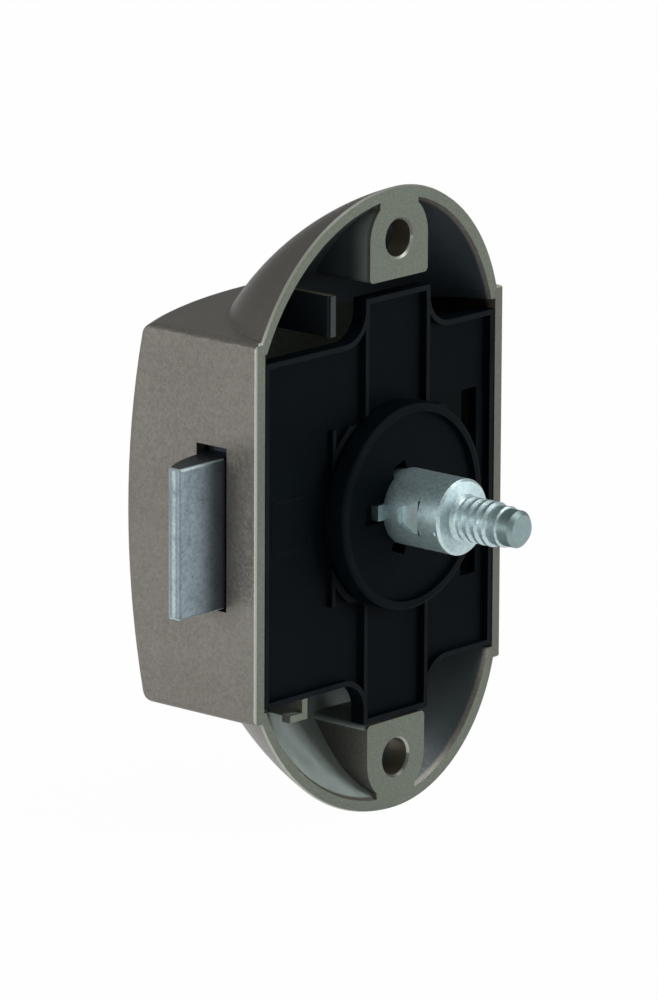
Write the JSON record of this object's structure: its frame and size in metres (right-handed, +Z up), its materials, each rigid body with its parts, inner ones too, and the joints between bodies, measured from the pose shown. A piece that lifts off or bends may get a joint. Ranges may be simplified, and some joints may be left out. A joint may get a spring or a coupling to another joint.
{
  "type": "push-button rim lock",
  "caption": "Rim lock for a cabinet door with a domed case, a spring latch bolt and a pop-out spindle that draws the bolt in.",
  "frame": {"origin": "where the spindle axis meets the mounting plane, midway between the two mounting screws", "axes": "+Z up along the line of the screws, -Y towards the door, -X the way the latch bolt comes out"},
  "size_m": [0.0517, 0.0451, 0.0758],
  "materials": {
    "painted_case": "fine-grained champagne metallic paint",
    "black_plastic": "matt moulded",
    "cast_zinc": "raw die-cast, mottled",
    "steel": "drawn",
    "brass": "plain",
    "rubber": "matt"
  },
  "bodies": {
    "lock_case": {"housing": "painted_case", "base_plate": "black_plastic", "guide_collar": "black_plastic", "buffer_ring": "rubber", "spring_seat": "steel", "catch_pivot_pin": "steel", "catch_washer": "brass", "catch_spring": "steel", "spindle_spring": "steel"},
    "spindle_unit": {"spindle": "cast_zinc", "cross_pin": "steel", "stop_clip": "steel", "cam_plate": "steel"},
    "slide_unit": {"slide_yoke": "black_plastic", "spring_guide_pins": "steel", "bolt_spring_upper": "steel", "bolt_spring_lower": "steel"},
    "bolt_unit": {"latch_bolt": "cast_zinc"},
    "catch_unit": {"catch_lever": "steel", "catch_peg": "steel"}
  },
  "joints": [
    {"name": "spindle_slide", "type": "slide", "parent": "lock_case", "child": "spindle_unit", "axis": [0, -1, 0], "range_m": [-0.0005, 0.009], "deforming": ["spindle_spring"]},
    {"name": "yoke_slide", "type": "slide", "parent": "lock_case", "child": "slide_unit", "axis": [1, 0, 0], "range_m": [-0.00043, 0.0077]},
    {"name": "bolt_slam", "type": "slide", "parent": "slide_unit", "child": "bolt_unit", "axis": [1, 0, 0], "range_m": [0, 0.0076], "stiffness_N_per_m": 250, "springref_m": -0.006, "deforming": ["bolt_spring_upper", "bolt_spring_lower"]},
    {"name": "catch_rock", "type": "hinge", "parent": "lock_case", "child": "catch_unit", "pos_m": [0, 0.0205, -0.00045], "axis": [1, 0, 0], "range_deg": [-4.2, 0.3]}
  ],
  "couplings": [
    {"joint": "yoke_slide", "follows": "spindle_slide", "ratio": 0.84444},
    {"joint": "catch_rock", "follows": "spindle_slide", "rad_per_m": -7.8247}
  ]
}
